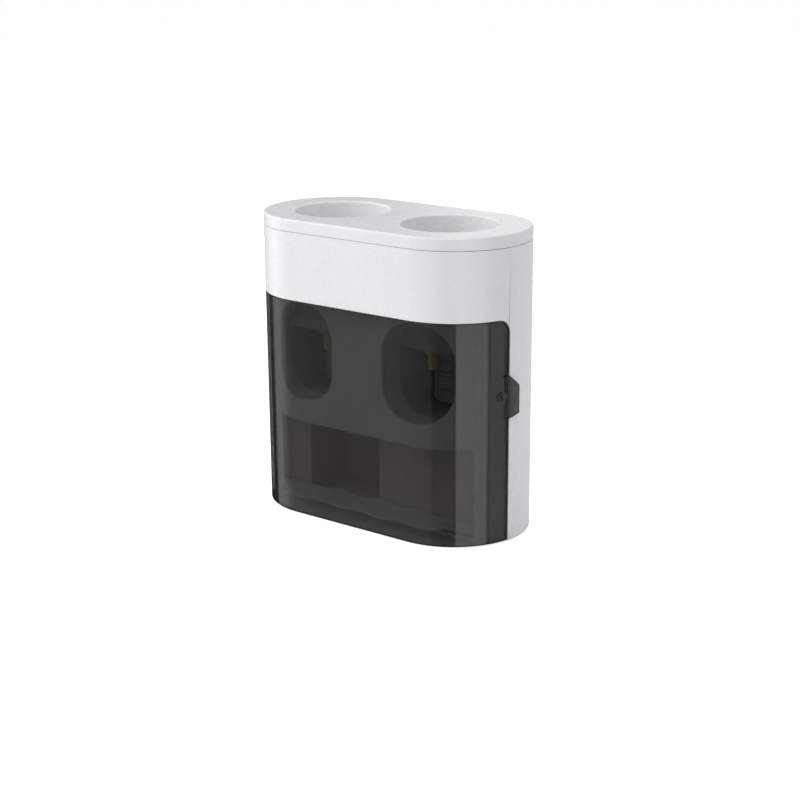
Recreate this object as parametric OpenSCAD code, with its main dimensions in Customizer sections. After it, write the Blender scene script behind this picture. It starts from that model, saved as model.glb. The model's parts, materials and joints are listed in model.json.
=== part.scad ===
// Wall-hung toothpaste dispenser and toothbrush holder with a smoked door.
// Millimetres. +Z up, the wall behind at +Y, the door in front at -Y.
// The origin is the middle of the footprint, on the underside.

/* [Housing] */
// Overall width of the housing, side to side
body_w = 210; // [204:1:230]
// Depth from the wall to the front
body_d = 108; // [104:1:118]
// Height to the top of the lid
body_h = 215; // [205:1:235]
// Wall thickness of the housing
wall = 2.4; // [2:0.1:2.8]
// Height of the lid's rim
lid_h = 9; // [7:0.5:12]
// Thickness of the floor plate
floor_t = 2.4; // [2:0.1:3]
// Distance of the side edges of the front opening from the middle plane
edge_y = 8.5; // [6:0.5:12]

/* [Wells in the lid] */
// Diameter of each well
well_d = 68; // [60:0.5:72]
// Distance between the centres of the two wells
well_spacing = 95; // [88:1:104]
// Height of a well's floor above the dispenser's block
well_lift = 11; // [9:0.5:22]
// Wall and floor thickness of a well
well_wall = 2; // [1.6:0.1:2.6]
// Diameter of the collar's opening in a well's floor
collar_d = 34; // [28:1:36]

/* [Door] */
// Height of the door's top edge
door_top = 157.3; // [150:0.1:162]
// Height of the door's bottom edge
door_bottom = 0.6; // [0.5:0.1:3]
// Thickness of the smoked shell
door_t = 2.4; // [2:0.1:3]
// Radius of the door's upper corners
door_corner = 9; // [3:0.5:14]
// Gap around the door
door_gap = 0.5; // [0.4:0.1:1]
// Height of the finger tab's middle
tab_z = 104; // [60:1:130]
// Length of the finger tab at its root
tab_len = 30; // [20:1:40]
// How far the finger tab stands proud of the housing
tab_proud = 2; // [1.5:0.1:3]
// Radius of the hinge knuckles
knuckle_r = 3; // [2.8:0.1:3.4]
// Radius of the hinge pins
hinge_pin_r = 1.5; // [1.2:0.1:1.7]
// Diameter of the latch magnets
magnet_d = 7; // [5:0.5:8]

/* [Front panel] */
// How far the front panel lies behind the housing's face
panel_set = 9.2; // [8:0.1:11]
// Thickness of the front panel and its shelf
panel_t = 2.2; // [1.8:0.1:3]
// Height of the front panel's lower edge
panel_z = 67; // [60:0.5:72]
// Width of each window, seen from the front
window_w = 55.5; // [48:0.5:58]
// Height of each window
window_h = 70; // [60:1:72]
// Corner radius of the windows
window_r = 24; // [16:0.5:26]
// Distance of a window's middle from the centre line
window_x = 50.25; // [48:0.25:53]
// Height of the windows' middle
window_z = 118.5; // [117:0.5:120]

/* [Brush rack] */
// Height of the ridges between two neck rests
rack_z = 13; // [12:0.1:16]
// Thickness of the rack
rack_t = 2.2; // [1.8:0.1:2.6]
// Distance between two neck rests
rest_pitch = 36.5; // [34:0.5:38]
// Depth of a neck rest
rest_depth = 3; // [2:0.1:4]
// How far the lower compartment's back wall lies in front of the middle plane
rear_wall_y = 20; // [16:0.5:24]
// Width of the storage pocket
pocket_w = 64.6; // [50:0.2:68]
// Depth of the storage pocket
pocket_deep = 42; // [30:1:50]

/* [Dispensers] */
// Thickness of a dispenser's own walls
bay_t = 2; // [1.6:0.1:2.4]
// Height of the block with the paste channel
block_h = 26; // [22:0.5:27]
// Radius of the paste channel
channel_r = 3; // [2:0.1:3.5]
// Radius of a tube's neck in its seal
neck_r = 6.5; // [5:0.1:8]
// Width of a push lever
lever_w = 29; // [22:0.5:32]
// Length of a push lever below its pin
lever_len = 38; // [32:0.5:40]
// Thickness of a push lever's paddle
lever_t = 2.4; // [2:0.1:3]
// Radius of a lever pin
lever_pin_r = 1.5; // [1.2:0.1:1.8]
// Radius of a suction bulb
bulb_r = 11; // [8:0.5:13]
// Wire thickness of the return springs
wire_d = 0.8; // [0.6:0.1:1]

/* [Wall bracket] */
// Width of the bracket
bracket_w = 84; // [76:1:90]
// Height of the bracket
bracket_h = 60; // [50:1:64]
// Thickness of the bracket's plate
bracket_t = 2.6; // [2:0.1:3]
// Thickness of the mounting pad
pad_t = 1.2; // [1:0.1:1.5]
// Distance between the bracket's screw holes
screw_spacing = 68; // [62:1:72]
// Diameter of the bracket's screw holes
screw_hole_d = 4.5; // [4:0.1:5]
// How far the unit is raised to leave the bracket
unhook = 12; // [10:0.5:13]

/* [Hidden] */
$fn = 96;

// Clearances and small values shared by the pieces
fit = 0.3;
running = 0.06;
press = 0.02;
snug = 0.2;
contact = 0.1;
thread_gap = 0.05;
join = 0.01;
over = 1;
seam = 0.3;

// Plan of the housing: two half circles joined by straight sides
end_r = body_d / 2;
half_straight = (body_w - body_d) / 2;
far = body_w;

// Heights
lid_z = body_h - lid_h;
ledge_z = door_top + door_gap;
panel_in = panel_set + panel_t;
shelf_top = panel_z + panel_t;

// The door's recess in the housing
recess_set = door_t + door_gap;
flange_in = recess_set + wall;
flange_y = 26;

// Wells and the tube axis
well_x = well_spacing / 2;
well_r = well_d / 2;
lid_skirt_h = 6;
lid_edge = 1.5;
collar_gap = 0.5;

// Storage pocket in the lower back wall
pocket_edge = 0.7;
pocket_top = panel_z - 5.7;
pocket_bottom = floor_t + 2.3;
pocket_corner = 5;

// Dispensers: bay behind each window
bay_w = window_w + 1;
bay_z = window_z - window_h / 2;
bay_back_y = 16;
block_drop = 1.8;
block_top = ledge_z - block_drop;
block_z = block_top - block_h;
block_front_y = -24;
block_w = bay_w - 2 * contact;
rail_w = 2.5;
rail_h = 2;
seal_flange_t = 2;
seal_depth = 6.2;
seal_r = 2 * neck_r + 0.5;
seal_rim = 3;
seal_flange_r = min(seal_r + seal_rim, collar_d / 2);
seal_chamfer = 1.5;
well_floor_z = block_top + well_lift;
well_depth = body_h - well_floor_z;
nozzle_y = -18;
nozzle_len = 14;
nozzle_flange_r = channel_r + 4;
nozzle_flange_t = 2;
nozzle_root_r = channel_r + 1.6;
nozzle_taper_r = channel_r + 1.2;
nozzle_taper_h = 4;
spout_r = 1;
spout_h = 2;
spout_cone_h = 5;
nozzle_bore_r = channel_r - 0.5;
pin_y = 2;
knuckle_gap = 0.5;
lever_knuckle_wall = 2;
lever_knuckle_r = lever_pin_r + lever_knuckle_wall;
lever_head = 1;
lever_set = 1;
lever_notch = 9;
lever_notch_in = 0.6;
rib_t = 1.6;
rib_h = 1.4;
rib_low = 4;
rib_high = 2;
pin_z = block_z - knuckle_gap - lever_knuckle_r;
ear_t = 2.5;
ear_side = 4.5;
ear_in = lever_w / 2 + ear_side;
ear_half = 4;
ear_drop = 5;
bulb_drop = 24;
bulb_z = pin_z - bulb_drop;
bulb_base = 4;
bulb_tip_y = 4;
foot_r = 3.5;
foot_x = 20;
foot_y = 8;

// Screws
screw_r = 1.25;
screw_head_r = 3;
screw_head_t = 2;
screw_len = 10;
screw_clear_r = 1.7;
boss_r = 4;
boss_h = 15;
boss_in = 8;
boss_side_y = 2;
boss_back_in = 11;
boss_back_x = half_straight - boss_back_in;

// Hinge of the door, on the left end
hinge_x = -(body_w / 2 + tab_proud - knuckle_r);
hinge_y = -4.5;
hinge_zs = [38, 120];
knuckle_h = 16;
lug_h = 8;
knuckle_play = 0.4;
pocket_out = 10;
arm_t = 2.4;
arm_overlap = 1.2;

// Finger tab
tab_slope = 8;
tab_foot = 2;
tab_root = 5;
tab_shoulder = 2;
tab_tip = 0.4;
tab_lift = 0.35;

// Magnets of the latch
magnet_t = 1.4;
magnet_edge = 1;
magnet_rim = 1.6;
magnet_back = 1.5;
latch_turn = asin((edge_y + door_gap + magnet_d / 2 + magnet_edge) / end_r);

// Wall bracket in its recess
recess_side = 4;
recess_front = 2.7;
recess_w = bracket_w + 2 * recess_side;
recess_deep = pad_t + bracket_t + recess_front;
bracket_drop = 18;
bracket_z = lid_z - bracket_drop - bracket_h;
recess_z = bracket_z - unhook - recess_side;
recess_h = bracket_h + unhook + 2 * recess_side;
hook_x = 20;
hook_w = 12;
hook_h = 12;
hook_t = 2.4;
hook_above = 2;
hook_z = bracket_z + bracket_h / 2 + hook_above;
hook_neck_h = 4;
hook_root = 0.5;
screw_z = bracket_z + bracket_h / 2;

// Plan outline, moved inwards by inset
module plan(inset) {
  square([2 * half_straight, 2 * (end_r - inset)], center = true);
  for (side = [-1, 1])
    translate([side * half_straight, 0])
      circle(end_r - inset);
}

// Band that follows the plan between two insets
module band(outer, inner) {
  difference() {
    plan(outer);
    plan(inner);
  }
}

// The part of the plan in front of a given y, or behind it
module front_of(y) {
  translate([-far, -far])
    square([2 * far, far + y]);
}

module behind(y) {
  translate([-far, y])
    square([2 * far, far]);
}

// Rectangle with rounded corners, centred
module rounded(w, h, rad) {
  square([w - 2 * rad, h], center = true);
  square([w, h - 2 * rad], center = true);
  for (sx = [-1, 1], sz = [-1, 1])
    translate([sx * (w / 2 - rad), sz * (h / 2 - rad)])
      circle(rad);
}

module box(lo, hi) {
  translate(lo)
    cube(hi - lo);
}

// Cylinder along X or along Y, from its low end
module x_cylinder(len, rad) {
  rotate([0, 90, 0])
    cylinder(h = len, r = rad);
}

module y_cylinder(len, rad) {
  rotate([-90, 0, 0])
    cylinder(h = len, r = rad);
}

// Screw with a round head below and its shank up
module screw() {
  translate([0, 0, -screw_head_t])
    cylinder(h = screw_head_t, r = screw_head_r);
  cylinder(h = screw_len, r = screw_r);
}

function boss_places() = [
  for (side = [-1, 1]) [side * (half_straight + end_r - boss_in), boss_side_y],
  for (side = [-1, 1]) [side * boss_back_x, end_r - boss_in]
];

function foot_places() = [for (side = [-1, 1], foot = [-1, 1])
  [side * (window_x + foot * foot_x), foot_y]];

// Housing
module housing_shell() {
  difference() {
    linear_extrude(lid_z)
      band(0, wall);
    translate([0, 0, -over])
      linear_extrude(ledge_z + over)
        front_of(-edge_y);
  }
  linear_extrude(floor_t) {
    intersection() {
      plan(recess_set + wall / 2);
      behind(-flange_y);
    }
    intersection() {
      plan(wall / 2);
      behind(-edge_y + wall / 2);
    }
  }
}

module door_recess() {
  linear_extrude(ledge_z + wall / 2) {
    intersection() {
      band(recess_set, flange_in);
      front_of(-edge_y + wall);
      behind(-flange_y);
    }
    intersection() {
      band(wall / 2, flange_in);
      front_of(-edge_y + wall);
      behind(-edge_y);
    }
    intersection() {
      band(recess_set, panel_set - contact);
      front_of(-flange_y + wall);
      behind(-flange_y);
    }
  }
  translate([0, 0, ledge_z])
    linear_extrude(wall)
      intersection() {
        band(0, panel_in);
        front_of(-edge_y + wall);
      }
  intersection() {
    linear_extrude(ledge_z + wall / 2)
      band(0, recess_set + wall / 2);
    recess_corner();
  }
}

// Fills the corner above the door's round corner, one gap away from it
module recess_corner() {
  corner = door_corner + door_gap;
  translate([-far, 0, 0])
    rotate([90, 0, 90])
      linear_extrude(2 * far)
        difference() {
          translate([-edge_y - corner, ledge_z - corner])
            square(corner + join);
          translate([-edge_y - corner, ledge_z - corner])
            circle(corner);
        }
}

module hinge_lugs() {
  for (z = hinge_zs, end = [-1, 1])
    translate([hinge_x, hinge_y, z + end * (knuckle_h / 2 + knuckle_play) - (end < 0 ? lug_h : 0)])
      cylinder(h = lug_h, r = knuckle_r);
}

module hinge_pockets() {
  room = knuckle_h + 2 * knuckle_play;
  for (z = hinge_zs) {
    translate([hinge_x, hinge_y, z - room / 2])
      cylinder(h = room, r = knuckle_r + knuckle_play);
    box([hinge_x - pocket_out, -edge_y - over, z - room / 2],
        [hinge_x + arm_t, hinge_y, z + room / 2]);
    box([hinge_x - pocket_out, -edge_y - over, z - room / 2],
        [hinge_x, hinge_y + knuckle_r, z + room / 2]);
  }
}

module bracket_recess(grow, y0) {
  box([-recess_w / 2 - grow, y0, recess_z - grow],
      [recess_w / 2 + grow, end_r + over, recess_z + recess_h + grow]);
}

module main_housing() {
  color("white")
  difference() {
    union() {
      housing_shell();
      door_recess();
      hinge_lugs();
      for (p = boss_places()) {
        translate([p[0], p[1], shelf_top])
          cylinder(h = boss_h, r = boss_r);
      }
      for (side = [-1, 1]) {
        boss_x = half_straight + end_r - boss_in;
        translate([side * boss_x, boss_side_y, shelf_top])
          mirror([side < 0 ? 1 : 0, 0, 0])
            box([0, -wall / 2, 0], [boss_in - wall / 2, wall / 2, boss_h]);
        translate([side * boss_back_x, end_r - boss_in, shelf_top])
          box([-wall / 2, 0, 0], [wall / 2, boss_in - wall / 2, boss_h]);
      }
      intersection() {
        bracket_recess(wall, end_r - recess_deep - wall);
        linear_extrude(lid_z)
          plan(0);
      }
      magnet_boss();
    }
    hinge_pockets();
    bracket_recess(0, end_r - recess_deep);
    for (side = [-1, 1])
      translate([side * hook_x, 0, 0])
        box([-hook_w / 2 - fit, end_r - recess_deep - wall - over, hook_z - unhook - fit],
            [hook_w / 2 + fit, end_r, hook_z + hook_neck_h + fit]);
    for (p = boss_places())
      translate([p[0], p[1], shelf_top - over])
        cylinder(h = screw_len + over, r = screw_r + thread_gap);
    for (z = hinge_zs)
      translate([hinge_x, hinge_y, z - knuckle_h / 2 - lug_h - over])
        cylinder(h = knuckle_h + 2 * lug_h + 2 * over, r = hinge_pin_r + press);
    magnet_pocket();
  }
}

// The latch magnets face each other across the gap behind the door's edge
door_magnet_r = sqrt(pow(end_r - door_t, 2) - pow(magnet_d / 2, 2)) + thread_gap;
housing_magnet_r = sqrt(pow(end_r - recess_set, 2) - pow(magnet_d / 2, 2)) - contact - magnet_t;

module at_latch(reach) {
  translate([half_straight, 0, tab_z])
    rotate([0, 0, -latch_turn])
      translate([reach, 0, 0])
        children();
}

module magnet_boss() {
  at_latch(housing_magnet_r - magnet_back)
    x_cylinder(magnet_back + magnet_t / 2, magnet_d / 2 + magnet_rim);
}

module magnet_pocket() {
  at_latch(housing_magnet_r)
    x_cylinder(2 * magnet_t, magnet_d / 2 + thread_gap);
}

// Lid with the two wells
module lid_profile() {
  low = lid_z + seam;
  high = body_h - lid_edge;
  polygon([[0, low], [end_r, low], [end_r, high], [end_r - lid_edge, body_h], [0, body_h]]);
  translate([end_r - lid_edge, high])
    circle(lid_edge, $fn = 48);
}

module lid_solid() {
  for (side = [-1, 1])
    translate([side * half_straight, 0, 0])
      rotate_extrude()
        lid_profile();
  translate([-half_straight, 0, 0])
    rotate([90, 0, 90])
      linear_extrude(2 * half_straight)
        for (flip = [0, 1])
          mirror([flip, 0])
            lid_profile();
}

module top_cover() {
  color("white")
  difference() {
    union() {
      difference() {
        lid_solid();
        translate([0, 0, lid_z])
          linear_extrude(lid_h - wall)
            plan(wall);
      }
      translate([0, 0, lid_z - lid_skirt_h])
        linear_extrude(lid_skirt_h + lid_h - wall / 2)
          band(wall + fit, wall + fit + well_wall);
      for (side = [-1, 1])
        translate([side * well_x, 0, 0]) {
          translate([0, 0, well_floor_z - well_wall])
            cylinder(h = well_depth + well_wall - lid_edge, r = well_r + well_wall);
          translate([0, 0, block_top + seal_flange_t + collar_gap])
            cylinder(h = well_floor_z - block_top - seal_flange_t - collar_gap, r = collar_d / 2 + well_wall);
        }
    }
    for (side = [-1, 1])
      translate([side * well_x, 0, 0]) {
        translate([0, 0, well_floor_z])
          cylinder(h = well_depth + over, r = well_r);
        translate([0, 0, block_top])
          cylinder(h = body_h - block_top, r = collar_d / 2);
      }
  }
}

// Front panel with its windows and the shelf below the dispensers
module front_panel() {
  color("whitesmoke")
  difference() {
    union() {
      translate([0, 0, panel_z])
        linear_extrude(ledge_z - panel_z)
          intersection() {
            band(panel_set, panel_in);
            front_of(-rear_wall_y);
          }
      translate([0, 0, panel_z])
        linear_extrude(panel_t) {
          intersection() {
            plan(panel_set);
            front_of(-flange_y + wall + fit);
          }
          intersection() {
            plan(flange_in + snug);
            behind(-flange_y + wall + fit - join);
          }
        }
    }
    for (side = [-1, 1])
      translate([side * window_x, -rear_wall_y, window_z])
        rotate([90, 0, 0])
          linear_extrude(end_r)
            rounded(window_w, window_h, window_r);
    for (p = concat(boss_places(), foot_places()))
      translate([p[0], p[1], panel_z - over])
        cylinder(h = panel_t + 2 * over, r = screw_clear_r);
  }
}

// Back wall of the lower compartment with its storage pocket
module lower_back_panel() {
  pocket_h = pocket_top - pocket_bottom;
  pocket_x = -(pocket_edge + pocket_w / 2);
  color("whitesmoke")
  difference() {
    union() {
      translate([0, 0, floor_t])
        linear_extrude(panel_z - floor_t)
          intersection() {
            plan(flange_in + snug);
            behind(-rear_wall_y);
            front_of(-rear_wall_y + panel_t);
          }
      translate([pocket_x, -rear_wall_y, (pocket_top + pocket_bottom) / 2])
        rotate([-90, 0, 0])
          linear_extrude(pocket_deep + panel_t)
            rounded(pocket_w + 2 * panel_t, pocket_h + 2 * panel_t, pocket_corner + over);
    }
    translate([pocket_x, -rear_wall_y - over, (pocket_top + pocket_bottom) / 2])
      rotate([-90, 0, 0])
        linear_extrude(pocket_deep + over)
          rounded(pocket_w, pocket_h, pocket_corner);
  }
}

// Rack for the brushes: a thin wavy plate with a round rest for each neck, on a foot along its back
function rest_places() = [for (i = [-3 : 2]) (i + 0.5) * rest_pitch];

module on_lip(s) {
  front_r = end_r - panel_set;
  past = abs(s) - half_straight;
  turn = past > 0 ? past / front_r * 180 / PI : 0;
  side = s < 0 ? -1 : 1;
  if (past > 0)
    translate([side * half_straight, 0, 0])
      rotate([0, 0, side * turn])
        translate([0, -front_r, 0])
          children();
  else
    translate([s, -front_r, 0])
      children();
}

// Rounds of the rests, grown by a wall's thickness
module neck_rests(grow) {
  rest_r = (pow(rest_pitch / 2, 2) + pow(rest_depth, 2)) / (2 * rest_depth);
  for (s = rest_places())
    on_lip(s)
      translate([0, 0, rack_z - rest_depth + rest_r])
        rotate([90, 0, 0])
          cylinder(h = 2 * end_r, r = rest_r + grow, center = true);
}

module toothbrush_rack() {
  ridge_flat = 0.4;
  low = rack_z - rest_depth - rack_t;
  color("whitesmoke")
  union() {
    difference() {
      intersection() {
        translate([0, 0, low])
          linear_extrude(rack_z - ridge_flat - low)
            intersection() {
              plan(panel_set);
              front_of(-rear_wall_y);
            }
        neck_rests(rack_t);
      }
      neck_rests(0);
    }
    translate([0, 0, floor_t])
      linear_extrude(low + rack_t / 2 - floor_t)
        intersection() {
          plan(panel_set);
          front_of(-rear_wall_y);
          behind(-rear_wall_y - rack_t);
        }
  }
}

// Smoked door with its knuckles and finger tab
module door_outline() {
  edge = edge_y + door_gap;
  translate([-far, 0, 0])
    rotate([90, 0, 90])
      linear_extrude(2 * far) {
        translate([-far, door_bottom])
          square([far - edge, door_top - door_corner - door_bottom]);
        translate([-far, door_bottom])
          square([far - edge - door_corner, door_top - door_bottom]);
        translate([-edge - door_corner, door_top - door_corner])
          circle(door_corner);
      }
}

module finger_tab() {
  z0 = tab_z - tab_len / 2;
  z1 = tab_z + tab_len / 2;
  root_y = -(edge_y + door_gap + tab_root);
  shoulder_y = -(edge_y + tab_shoulder);
  intersection() {
    linear_extrude(body_h) {
      band(-tab_proud, -tab_lift);
      intersection() {
        band(-tab_proud, door_t / 2);
        front_of(-(edge_y + door_gap));
      }
    }
    translate([half_straight, 0, 0])
      rotate([90, 0, 90])
        linear_extrude(far)
          polygon([
            [root_y, z0], [root_y, z1], [shoulder_y, z1],
            [-tab_tip, z1 - tab_slope], [-tab_tip, z0 + tab_foot], [shoulder_y, z0]
          ]);
  }
}

module dust_cover() {
  color([0.2, 0.2, 0.21, 0.6])
  difference() {
    union() {
      intersection() {
        linear_extrude(body_h)
          band(0, door_t);
        door_outline();
      }
      finger_tab();
      for (z = hinge_zs) {
        translate([hinge_x, hinge_y, z - knuckle_h / 2])
          cylinder(h = knuckle_h, r = knuckle_r);
        box([hinge_x - arm_t / 2, -edge_y - door_gap - arm_overlap, z - knuckle_h / 2],
            [hinge_x + arm_t / 2, hinge_y, z + knuckle_h / 2]);
      }
    }
    for (z = hinge_zs)
      translate([hinge_x, hinge_y, z - knuckle_h / 2 - over])
        cylinder(h = knuckle_h + 2 * over, r = hinge_pin_r + running);
    at_latch(door_magnet_r - magnet_t)
      x_cylinder(2 * magnet_t + thread_gap, magnet_d / 2 + thread_gap);
  }
}

module hinge_pins() {
  color("silver")
  for (z = hinge_zs)
    translate([hinge_x, hinge_y, z - knuckle_h / 2 - lug_h - knuckle_play])
      cylinder(h = knuckle_h + 2 * (lug_h + knuckle_play), r = hinge_pin_r);
}

module door_magnet() {
  color("gray")
  at_latch(door_magnet_r)
    x_cylinder(magnet_t, magnet_d / 2);
}

module housing_magnet() {
  color("gray")
  at_latch(housing_magnet_r)
    x_cylinder(magnet_t, magnet_d / 2);
}

// Wall bracket with two upturned hooks, and its pad
module wall_bracket() {
  plate_y = end_r - pad_t - bracket_t;
  tab_y = end_r - recess_deep - wall - fit - hook_t;
  color("lightgray")
  difference() {
    union() {
      box([-bracket_w / 2, plate_y, bracket_z],
          [bracket_w / 2, plate_y + bracket_t, bracket_z + bracket_h]);
      for (side = [-1, 1])
        translate([side * hook_x, 0, 0]) {
          box([-hook_w / 2, tab_y, hook_z], [hook_w / 2, plate_y + hook_root, hook_z + hook_neck_h]);
          box([-hook_w / 2, tab_y, hook_z], [hook_w / 2, tab_y + hook_t, hook_z + hook_h]);
        }
    }
    for (side = [-1, 1])
      translate([side * screw_spacing / 2, plate_y - over, screw_z])
        y_cylinder(bracket_t + 2 * over, screw_hole_d / 2);
  }
}

module bracket_pad() {
  margin = 2;
  color("gainsboro")
  difference() {
    box([-bracket_w / 2 + margin, end_r - pad_t, bracket_z + margin],
        [bracket_w / 2 - margin, end_r, bracket_z + bracket_h - margin]);
    for (side = [-1, 1])
      translate([side * screw_spacing / 2, end_r - pad_t - over, screw_z])
        y_cylinder(pad_t + 2 * over, screw_hole_d);
  }
}

module panel_screws() {
  color("silver")
  for (p = boss_places())
    translate([p[0], p[1], panel_z])
      screw();
}

module dispenser_screws() {
  color("silver")
  for (p = foot_places())
    translate([p[0], p[1], panel_z])
      screw();
}

// Each dispenser is drawn on the right and mirrored for the left
module at_station(side) {
  mirror([side < 0 ? 1 : 0, 0, 0])
    translate([window_x, 0, 0])
      children();
}

seal_x = well_x - window_x;

// What lies behind the front panel keeps clear of it
module behind_panel() {
  translate([-window_x, 0, 0])
    linear_extrude(body_h)
      plan(panel_in + fit);
}

// Bay behind a window: two sides, back, floor, feet and the rails that carry the block
module dispenser_bay(side) {
  color("lightgray")
  at_station(side)
  difference() {
    intersection() {
      behind_panel();
      union() {
        difference() {
          box([-bay_w / 2 - bay_t, block_front_y, shelf_top],
              [bay_w / 2 + bay_t, bay_back_y + bay_t, block_top]);
          box([-bay_w / 2, block_front_y - over, bay_z],
              [bay_w / 2, bay_back_y, body_h]);
          box([-bay_w / 2, block_front_y - over, -over],
              [bay_w / 2, body_d, bay_z - bay_t]);
        }
        for (end = [0, 1])
          mirror([end, 0, 0]) {
            box([bay_w / 2 - rail_w, block_front_y, block_z - rail_h],
                [bay_w / 2 + bay_t / 2, bay_back_y + bay_t / 2, block_z]);
            translate([foot_x, foot_y, shelf_top])
              cylinder(h = bay_z - shelf_top - bay_t / 2, r = foot_r);
          }
      }
    }
    for (end = [-1, 1])
      translate([end * foot_x, foot_y, shelf_top - over])
        cylinder(h = screw_len - panel_t + 2 * over, r = screw_r + thread_gap);
  }
}

// Rounded sleeve that leads from a window to the bay
module window_sleeve(side) {
  color("whitesmoke")
  at_station(side)
  intersection() {
    behind_panel();
    translate([0, block_front_y, 0])
      rotate([90, 0, 0])
        linear_extrude(end_r)
          difference() {
            translate([-bay_w / 2 - bay_t, bay_z - bay_t])
              square([bay_w + 2 * bay_t, block_top - bay_z + bay_t]);
            translate([0, window_z])
              rounded(window_w + 2 * snug, window_h + 2 * snug, window_r + snug);
          }
  }
}

// Block with the paste channel and the ears of the lever's pin
module paste_block(side) {
  color("lightgray")
  at_station(side)
  difference() {
    union() {
      box([-block_w / 2, block_front_y, block_z], [block_w / 2, bay_back_y, block_top]);
      for (end = [-1, 1])
        translate([end * (ear_in + ear_t / 2), 0, 0])
          box([-ear_t / 2, pin_y - ear_half, pin_z - ear_drop],
              [ear_t / 2, pin_y + ear_half, block_z + over]);
    }
    translate([seal_x, 0, block_top - seal_depth])
      cylinder(h = seal_depth + over, r = seal_r + contact);
    translate([seal_x, 0, block_z + block_h / 3])
      cylinder(h = block_h, r = channel_r);
    translate([seal_x, nozzle_y, block_z + block_h / 3])
      y_cylinder(-nozzle_y, channel_r);
    translate([seal_x, nozzle_y, block_z - over])
      cylinder(h = block_h / 3 + over, r = channel_r);
    translate([-ear_in - ear_t - over, pin_y, pin_z])
      x_cylinder(2 * (ear_in + ear_t + over), lever_pin_r + press);
  }
}

module tube_seal(side) {
  color("dimgray")
  at_station(side)
  translate([seal_x, 0, block_top])
    rotate_extrude()
      polygon([
        [neck_r, -seal_depth], [seal_r, -seal_depth], [seal_r, 0], [seal_flange_r, 0],
        [seal_flange_r, seal_flange_t], [neck_r + seal_chamfer, seal_flange_t],
        [neck_r, seal_flange_t - seal_chamfer]
      ]);
}

module outlet_nozzle(side) {
  color("white")
  at_station(side)
  translate([seal_x, nozzle_y, block_z])
    rotate_extrude()
      polygon([
        [nozzle_bore_r, 0], [nozzle_flange_r, 0], [nozzle_flange_r, -nozzle_flange_t],
        [nozzle_root_r, -nozzle_flange_t], [nozzle_taper_r, nozzle_taper_h - nozzle_len],
        [channel_r, -nozzle_len], [spout_r, -nozzle_len], [spout_r, spout_h - nozzle_len],
        [nozzle_bore_r, spout_cone_h - nozzle_len]
      ]);
}

module push_lever(side) {
  paddle_y = pin_y - lever_knuckle_r - lever_set;
  paddle_top = pin_z + lever_head;
  color("gainsboro")
  at_station(side)
  difference() {
    union() {
      translate([-lever_w / 2, pin_y, pin_z])
        x_cylinder(lever_w, lever_knuckle_r);
      box([-lever_w / 2, paddle_y, pin_z - lever_len], [lever_w / 2, paddle_y + lever_t, paddle_top]);
      box([-lever_w / 2, paddle_y, pin_z - 2 * lever_head], [lever_w / 2, pin_y, paddle_top]);
      for (rib = [-1, 1])
        translate([rib * lever_w / 4, 0, 0])
          box([-rib_t / 2, paddle_y, pin_z - lever_len + rib_low],
              [rib_t / 2, paddle_y + lever_t + rib_h, pin_z - rib_high]);
    }
    translate([-lever_w / 2 - over, pin_y, pin_z])
      x_cylinder(lever_w + 2 * over, lever_pin_r + running);
    box([-lever_w / 2 - over, paddle_y - over, paddle_top],
        [lever_w / 2 + over, pin_y - lever_knuckle_r + lever_notch_in, pin_z + lever_notch]);
  }
}

module lever_pin(side) {
  color("silver")
  at_station(side)
  translate([-ear_in - ear_t, pin_y, pin_z])
    x_cylinder(2 * (ear_in + ear_t), lever_pin_r);
}

// Return spring: one leg up to the block, coils about the pin and one leg down behind the lever
spring_room = 1;
spring_r = lever_pin_r + spring_room;
spring_turns = 4;
coil_share = 1.05;
spring_pitch = wire_d * coil_share;
spring_side = 0.7;
spring_x = lever_w / 2 + spring_side;
spring_leg = 13;
turn_steps = 16;
wire_sides = 8;

function spring_path() = [
  [[spring_x, pin_y + spring_r, block_z], [0, 1, 0]],
  for (i = [0 : spring_turns * turn_steps])
    let (angle = -360 * i / turn_steps, out = [0, cos(angle), sin(angle)])
      [[spring_x + spring_pitch * i / turn_steps, pin_y, pin_z] + spring_r * out, out],
  [[spring_x + spring_pitch * spring_turns, pin_y + spring_r, pin_z - spring_leg], [0, 1, 0]]
];

function wire_ring(station) = [for (k = [0 : wire_sides - 1])
  let (angle = 360 * k / wire_sides)
    station[0] + wire_d / 2 * (cos(angle) * station[1] + sin(angle) * [1, 0, 0])];

module lever_spring(side) {
  path = spring_path();
  last = len(path) - 1;
  color("silver")
  at_station(side)
    polyhedron(
      points = [for (station = path) each wire_ring(station)],
      faces = concat(
        [[for (k = [0 : wire_sides - 1]) k]],
        [for (i = [0 : last - 1], k = [0 : wire_sides - 1])
          let (n = (k + 1) % wire_sides)
            [i * wire_sides + k, (i + 1) * wire_sides + k, (i + 1) * wire_sides + n, i * wire_sides + n]],
        [[for (k = [0 : wire_sides - 1]) last * wire_sides + wire_sides - 1 - k]]
      )
    );
}

// Suction bulb: a soft dome on the bay's back wall
module suction_bulb(side) {
  cap_h = bay_back_y - bulb_base - bulb_tip_y;
  cap_r = (bulb_r * bulb_r + cap_h * cap_h) / (2 * cap_h);
  color("silver")
  at_station(side)
  translate([0, bay_back_y, bulb_z])
    rotate([90, 0, 0]) {
      cylinder(h = bulb_base, r = bulb_r);
      intersection() {
        translate([0, 0, bulb_base + cap_h - cap_r])
          sphere(cap_r);
        cylinder(h = bulb_base + cap_h + over, r = bulb_r);
      }
    }
}

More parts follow.
